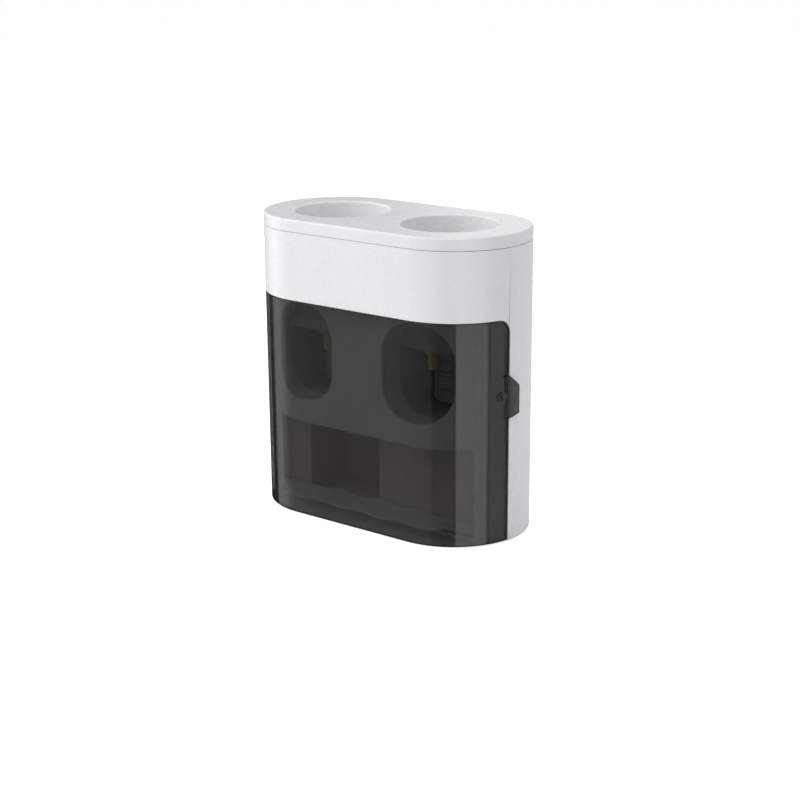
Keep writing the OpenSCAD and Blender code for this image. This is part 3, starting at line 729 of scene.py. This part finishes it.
def make_nozzle(side):
    """Soft spout: flange, waisted stem and a rounded tip with a small mouth."""
    low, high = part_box(f"{side}_outlet_nozzle")
    flange_r = (high.x - low.x) / 2
    flange_t = 2 * MM
    bore_r = 2.5 * MM
    mouth_r = 1 * MM
    mouth_h = 2 * MM
    stem_r = 4.2 * MM
    tip_r = 1.2 * MM
    edge = 0.6 * MM
    under = high.z - flange_t
    outline = [(bore_r, high.z), (flange_r - edge, high.z)]
    outline += arc((flange_r - edge, high.z - edge), edge, 90, 0)
    outline += arc((flange_r - edge, under + edge), edge, 0, -90)
    outline += arc((stem_r + edge, under - edge), edge, 90, 180)
    outline += [(stem_r - 0.3 * MM, under - 4 * MM), (stem_r - 0.1 * MM, under - 7 * MM)]
    outline += arc((stem_r - tip_r - 0.5 * MM, low.z + tip_r), tip_r, 0, -90)
    outline += [(mouth_r, low.z), (mouth_r, low.z + mouth_h), (bore_r, low.z + 2.5 * mouth_h)]
    outline += outline[:1]
    middle = middle_of(f"{side}_outlet_nozzle")
    return shade(lathe(f"{side}_spout", outline, (middle.x, middle.y, 0), 48))


def make_bulb(side):
    """Suction bulb: beaded foot, bellows groove and a domed cap with a small pip."""
    low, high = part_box(f"{side}_suction_bulb")
    bulb_r = (high.x - low.x) / 2
    bead = 1.1 * MM
    groove = 0.8 * MM
    pip_r = 2 * MM
    foot = high.y
    tip = low.y
    shoulder = foot - 4 * MM
    dome_r = bulb_r - groove
    dome_h = shoulder - tip - groove
    outline = [(0, foot), (bulb_r - bead, foot)]
    outline += arc((bulb_r - bead, foot - bead), bead, 90, -90)
    outline += arc((bulb_r - bead, foot - 3 * bead), bead / 2, 90, 270)
    for turn in range(0, 80, 8):
        angle = math.radians(turn)
        outline.append((dome_r * math.cos(angle), shoulder - dome_h * math.sin(angle)))
    outline += [(pip_r, tip + groove), (pip_r * 0.9, tip + groove / 3), (pip_r * 0.5, tip), (0, tip)]
    middle = middle_of(f"{side}_suction_bulb")
    return shade(lathe(f"{side}_bulb", outline, (middle.x, 0, middle.z), 64, "Y"))


def make_lever(side):
    """Push lever: dished paddle with grip ridges, back ribs, and a barrel on its pin."""
    low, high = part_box(f"{side}_push_lever")
    pin = middle_of(f"{side}_lever_pin")
    barrel_r = high.y - pin.y
    paddle_t = 2.4 * MM
    head = 1 * MM
    corner = 6 * MM
    waist = 1.6 * MM
    notch_y = pin.y - barrel_r + 0.6 * MM
    mid = pin.x
    half = (high.x - low.x) / 2
    back = low.y + paddle_t
    top = pin.z + head
    neck_z = low.z + 0.62 * (top - low.z)
    shape = arc((mid - half + corner, low.z + corner), corner, 180, 270)
    shape += arc((mid + half - corner, low.z + corner), corner, 270, 360)
    shape += [(mid + half - waist, neck_z), (mid + half, top - 2 * head), (mid + half, top)]
    shape += [(mid - half, top), (mid - half, top - 2 * head), (mid - half + waist, neck_z)]
    lever = prism(f"{side}_paddle", [(x, low.y, z) for x, z in shape], (0, paddle_t, 0))
    dish_r = 90 * MM
    dish_deep = 0.9 * MM
    dish_z = low.z + 15 * MM
    dish_y = low.y + dish_deep - dish_r
    reach = half - 3 * MM
    dish = rod("dish", dish_r, reach, (mid, dish_y, dish_z), 384, "X")
    combine(lever, dish, "DIFFERENCE")
    ridge_r = 0.8 * MM
    ridge_y = low.y + ridge_r + 0.1 * MM
    ridge_half = reach - 2 * MM
    ridge_pitch = 3.2 * MM
    for step in range(-2, 3):
        ridge = rod("ridge", ridge_r, ridge_half, (mid, ridge_y, dish_z + step * ridge_pitch), 16, "X")
        combine(lever, ridge, "UNION")
    rib_half = 0.8 * MM
    rib_h = 1.4 * MM
    rib_low = low.z + 4 * MM
    rib_high = pin.z - 2 * MM
    for way in (-1, 1):
        x = mid + way * half / 2
        rib = block("rib", (x - rib_half, back - MM, rib_low), (x + rib_half, back + rib_h, rib_high))
        combine(lever, rib, "UNION")
    web = block("web", (mid - half, low.y, top - 3 * head), (mid + half, pin.y, top))
    barrel = rod("barrel", barrel_r, half, (mid, pin.y, pin.z), 64, "X")
    combine(barrel, web, "UNION")
    beyond = half + MM
    notch = block("notch", (mid - beyond, low.y - MM, top), (mid + beyond, notch_y, top + 9 * MM))
    combine(barrel, notch, "DIFFERENCE")
    combine(lever, barrel, "UNION")
    bore = rod("bore", PIN_BORE_R, beyond, (mid, pin.y, pin.z), 48, "X")
    combine(lever, bore, "DIFFERENCE")
    return soften(lever, 0.3 * MM, 2, corner="MITER_SHARP")


# Fasteners and the mounting pad

def make_screws(node, places):
    """Pan-head screws with cross recesses, heads down, at (x, y) places."""
    low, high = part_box(node)
    head_r = 3 * MM
    head_h = 2 * MM
    shank_r = 1.25 * MM
    thread = 0.18 * MM
    turns = 9
    seat = low.z + head_h
    dome = 1 * MM
    outline = [(0, low.z), (head_r * 0.6, low.z + 0.1 * MM)]
    outline += arc((head_r - dome, low.z + 0.2 * MM + dome), dome, -80, 0, 5)
    outline += [(head_r, seat), (shank_r, seat)]
    pitch = (high.z - seat - MM) / turns
    for turn in range(turns):
        height = seat + turn * pitch
        outline += [(shank_r, height + 0.3 * pitch), (shank_r - thread, height + 0.8 * pitch)]
    outline += [(shank_r - thread, high.z - 0.4 * MM), (shank_r - 3 * thread, high.z), (0, high.z)]
    x, y = places[0]
    screw = lathe(node + "_heads", outline, (x, y, 0), 32)
    slot_half = 1.8 * MM
    slot_w = 0.35 * MM
    slot_h = 1.1 * MM
    for wide, deep in ((slot_half, slot_w), (slot_w, slot_half)):
        slot = block("recess", (x - wide, y - deep, low.z - MM), (x + wide, y + deep, low.z + slot_h))
        combine(screw, slot, "DIFFERENCE")
    soften(screw, 0.08 * MM, 1)
    return copies(screw, [(far_x - x, far_y - y, 0) for far_x, far_y in places[1:]])


def make_pad():
    """Foam sheet behind the bracket with round corners and room round the screws."""
    low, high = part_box("bracket_pad")
    corner = 4 * MM
    hole_r = 4.5 * MM
    screws = MOUNTS["wall_screws"]
    screw_z = screws["pos_m"][2]
    screw_x = screws["dims"]["spacing_x_mm"] * MM / 2
    outline = arc((low.x + corner, low.z + corner), corner, 180, 270)
    outline += arc((high.x - corner, low.z + corner), corner, 270, 360)
    outline += arc((high.x - corner, high.z - corner), corner, 0, 90)
    outline += arc((low.x + corner, high.z - corner), corner, 90, 180)
    pad = prism("mounting_foam", [(x, low.y, z) for x, z in outline], (0, high.y - low.y, 0))
    reach = 3 * MM
    for x in (-screw_x, screw_x):
        combine(pad, rod("hole", hole_r, reach, (x, high.y, screw_z), 48, "Y"), "DIFFERENCE")
    return soften(pad, 0.3 * MM, 3)


# Scene

def look_from(turn, rise, roll, distance, aim, lens, shift):
    """Camera at the photograph's angle: turn to the right of the front and rise above the horizon."""
    camera = bpy.data.objects.new("camera", bpy.data.cameras.new("camera"))
    bpy.context.scene.collection.objects.link(camera)
    back = Vector((math.sin(turn) * math.cos(rise), -math.cos(turn) * math.cos(rise), math.sin(rise)))
    stand = Euler((math.pi / 2 - rise, 0, turn)).to_matrix() @ Matrix.Rotation(roll, 3, "Z")
    camera.matrix_world = Matrix.Translation(Vector(aim) + back * distance) @ stand.to_4x4()
    camera.data.lens = lens
    camera.data.shift_x, camera.data.shift_y = shift
    camera.data.clip_end = 50
    bpy.context.scene.camera = camera


def add_lamp(name, place, aim, size, power):
    """Square soft lamp that faces its aim."""
    light = bpy.data.lights.new(name, "AREA")
    light.shape = "RECTANGLE"
    light.size, light.size_y = size
    light.energy = power
    lamp = bpy.data.objects.new(name, light)
    bpy.context.scene.collection.objects.link(lamp)
    lamp.location = place
    lamp.rotation_euler = (Vector(aim) - Vector(place)).to_track_quat("-Z", "Y").to_euler()
    lamp.visible_glossy = False
    return lamp


# What glossy surfaces mirror round the object, as (angle from the front towards the right, brightness)
ROOM_BANDS = (
    (-180, 0.75), (-143, 0.75), (-142, 0.04), (-88, 0.04), (-86, 1.15), (-62, 1.05), (-54, 0.4),
    (-30, 0.36), (-8, 0.34), (2, 0.34), (4, 0.04), (39, 0.03), (40.5, 1.45), (87, 1.45),
    (88.5, 0.06), (92, 0.06), (93.5, 0.4), (121, 0.4), (150, 0.75), (180, 0.75),
)
ROOM_LIGHT = 0.68
FLOOR_GLOW = 0.66


def make_room():
    """Even room light, white for the camera, with the studio's light and dark sides for gloss."""
    world = bpy.data.worlds.new("room")
    bpy.context.scene.world = world
    world.use_nodes = True
    nodes = world.node_tree.nodes
    links = world.node_tree.links
    nodes.clear()
    direction = nodes.new("ShaderNodeTexCoord").outputs["Generated"]
    parts = nodes.new("ShaderNodeSeparateXYZ")
    links.new(direction, parts.inputs[0])
    front = nodes.new("ShaderNodeMath")
    front.operation = "MULTIPLY"
    front.inputs[1].default_value = -1
    links.new(parts.outputs["Y"], front.inputs[0])
    angle = nodes.new("ShaderNodeMath")
    angle.operation = "ARCTAN2"
    links.new(parts.outputs["X"], angle.inputs[0])
    links.new(front.outputs[0], angle.inputs[1])
    share = nodes.new("ShaderNodeMapRange")
    share.inputs["From Min"].default_value = -math.pi
    share.inputs["From Max"].default_value = math.pi
    links.new(angle.outputs[0], share.inputs["Value"])
    bands = nodes.new("ShaderNodeValToRGB")
    ramp = bands.color_ramp
    for index, (degrees, level) in enumerate(ROOM_BANDS):
        place = (degrees + 180) / 360
        if index < 2:
            stop = ramp.elements[index]
            stop.position = place
        else:
            stop = ramp.elements.new(place)
        stop.color = (level, level, level, 1)
    links.new(share.outputs["Result"], bands.inputs["Fac"])
    rays = nodes.new("ShaderNodeLightPath")
    gloss = nodes.new("ShaderNodeBackground")
    links.new(bands.outputs["Color"], gloss.inputs["Color"])
    even = nodes.new("ShaderNodeBackground")
    even.inputs["Color"].default_value = (0.97, 0.985, 1.0, 1)
    even.inputs["Strength"].default_value = ROOM_LIGHT
    white = nodes.new("ShaderNodeBackground")
    white.inputs["Color"].default_value = (1, 1, 1, 1)
    by_gloss = nodes.new("ShaderNodeMixShader")
    links.new(rays.outputs["Is Glossy Ray"], by_gloss.inputs["Fac"])
    links.new(even.outputs[0], by_gloss.inputs[1])
    links.new(gloss.outputs[0], by_gloss.inputs[2])
    by_camera = nodes.new("ShaderNodeMixShader")
    links.new(rays.outputs["Is Camera Ray"], by_camera.inputs["Fac"])
    links.new(by_gloss.outputs[0], by_camera.inputs[1])
    links.new(white.outputs[0], by_camera.inputs[2])
    output = nodes.new("ShaderNodeOutputWorld")
    links.new(by_camera.outputs[0], output.inputs["Surface"])


def make_floor():
    """Pale floor that looks white and keeps the object's shadow."""
    bpy.ops.object.select_all(action="DESELECT")
    bpy.ops.mesh.primitive_plane_add(size=8)
    floor = bpy.context.object
    floor.name = "floor"
    finish = Finish("floor_white").set(Roughness=0.9)
    finish.colour(finish.noise(0.4, 2.0), (0.80, 0.80, 0.80), (0.82, 0.82, 0.82))
    glow = finish.nodes.new("ShaderNodeEmission")
    rays = finish.nodes.new("ShaderNodeLightPath")
    straight = finish.nodes.new("ShaderNodeMath")
    straight.operation = "LESS_THAN"
    straight.inputs[1].default_value = 0.5
    finish.links.new(rays.outputs["Transparent Depth"], straight.inputs[0])
    seen = finish.nodes.new("ShaderNodeMath")
    seen.operation = "MULTIPLY"
    finish.links.new(rays.outputs["Is Camera Ray"], seen.inputs[0])
    finish.links.new(straight.outputs[0], seen.inputs[1])
    finish.links.new(seen.outputs[0], glow.inputs["Strength"])
    glow.inputs["Color"].default_value = (FLOOR_GLOW, FLOOR_GLOW, FLOOR_GLOW, 1)
    both = finish.nodes.new("ShaderNodeAddShader")
    output = finish.nodes["Material Output"]
    finish.links.new(finish.shader.outputs[0], both.inputs[0])
    finish.links.new(glow.outputs[0], both.inputs[1])
    finish.links.new(both.outputs[0], output.inputs["Surface"])
    dress(floor, finish.material)
    floor.visible_glossy = False


look_from(
    turn=0.67299, rise=0.29816, roll=-0.00873, distance=1.2479,
    aim=(-0.00508, 0, 0.05732), lens=77.407, shift=(0.0109, 0.0386),
)
make_room()
make_floor()
add_lamp("key", place=(-0.75, -0.9, 1.25), aim=(0, 0, 0.1), size=(0.9, 0.9), power=11)
add_lamp("fill", place=(-1.3, 0.1, 0.5), aim=(0, 0, 0.12), size=(0.7, 0.9), power=5)


# Pieces

stand_for(make_lid(), "lid", "white_housing", WHITE, "top_cover")
stand_for(make_door(), "door", "smoked_door", SMOKE, "dust_cover")
stand_for(make_front_panel(), "housing", "white_panel", PANEL_WHITE, "front_panel")
for side in ("left", "right"):
    stand_for(make_tube_seal(side), "housing", "soft_rubber", RUBBER, f"{side}_tube_seal")
    stand_for(make_nozzle(side), "housing", "clear_silicone", SILICONE, f"{side}_outlet_nozzle")
    stand_for(make_bulb(side), "housing", "clear_silicone", SILICONE, f"{side}_suction_bulb")
    stand_for(make_lever(side), f"{side}_lever", "lever_plastic", LEVER_GREY, f"{side}_push_lever")

stand_for(make_screws("panel_screws", BOSS_PLACES), "housing", "steel", STEEL, "panel_screws")
stand_for(make_screws("dispenser_screws", FOOT_PLACES), "housing", "steel", STEEL, "dispenser_screws")
pad = stand_for(make_pad(), "bracket", "foam_pad", FOAM, "bracket_pad")

CAD_FINISHES = {
    "main_housing": WHITE,
    # The lower back panel takes the darkened warm white, painted shade of the lower compartment
    "lower_back_panel": SHADED_WARM_PANEL,
    "toothbrush_rack": PANEL_WHITE,
    "hinge_pins": STEEL,
    "door_magnet": NICKEL,
    "housing_magnet": NICKEL,
    "wall_bracket": GREY,
}
STATION_FINISHES = {
    "dispenser_bay": GREY,
    "paste_block": GREY,
    "window_sleeve": SLEEVE_GREY,
    "lever_pin": STEEL,
    "lever_spring": STEEL,
}
for side in ("left", "right"):
    for part, finish in STATION_FINISHES.items():
        CAD_FINISHES[f"{side}_{part}"] = finish

EDGE_ROUND = {"main_housing": 0.35 * MM, "lower_back_panel": 0.5 * MM, "toothbrush_rack": 0.5 * MM}


def finish_cad_node(name, material):
    """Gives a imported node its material, with rounded edges where it has room for them."""
    node = frame["nodes"][name]
    node.data.materials.clear()
    node.data.materials.append(material)
    weld = node.modifiers.new("joined corners", "WELD")
    weld.merge_threshold = 2 * MERGE
    if name.endswith("spring"):
        wire = node.modifiers.new("round wire", "SUBSURF")
        wire.levels = 1
        wire.render_levels = 1
        return
    bevel = node.modifiers.new("soft edges", "BEVEL")
    bevel.width = EDGE_ROUND.get(name, 0.2 * MM)
    bevel.segments = 2
    bevel.limit_method = "ANGLE"
    bevel.angle_limit = SMOOTH_ANGLE
    bevel.use_clamp_overlap = False
    flat = node.modifiers.new("flat faces stay flat", "WEIGHTED_NORMAL")
    flat.weight = FLAT_WEIGHT


for name, material in CAD_FINISHES.items():
    finish_cad_node(name, material)

view = bpy.context.scene.view_settings
view.view_transform = "Standard"

bpy.context.view_layer.update()
